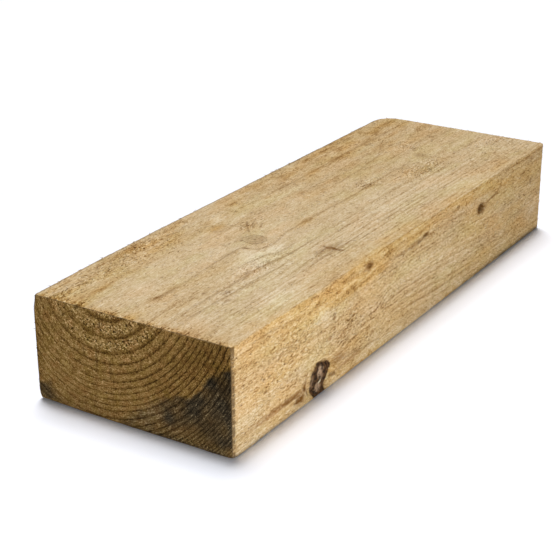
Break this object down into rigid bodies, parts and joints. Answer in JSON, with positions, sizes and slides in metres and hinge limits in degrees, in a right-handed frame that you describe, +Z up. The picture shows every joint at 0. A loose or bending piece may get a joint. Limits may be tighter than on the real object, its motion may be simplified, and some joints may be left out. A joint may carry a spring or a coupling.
{
  "type": "railway sleeper",
  "caption": "Short rectangular length of rough-sawn treated softwood with worn edges and corners, laid flat as a garden edging, step or low wall course.",
  "frame": {"origin": "middle of the underside, on which the sleeper lies", "axes": "+X along the grain from the near sawn end to the far end, +Y across the width, +Z up through the thickness"},
  "size_m": [0.61, 0.2, 0.098],
  "materials": {
    "timber": "rough sawn, pressure treated, unpainted"
  },
  "bodies": {
    "root": {"sleeper": "timber"}
  },
  "joints": []
}
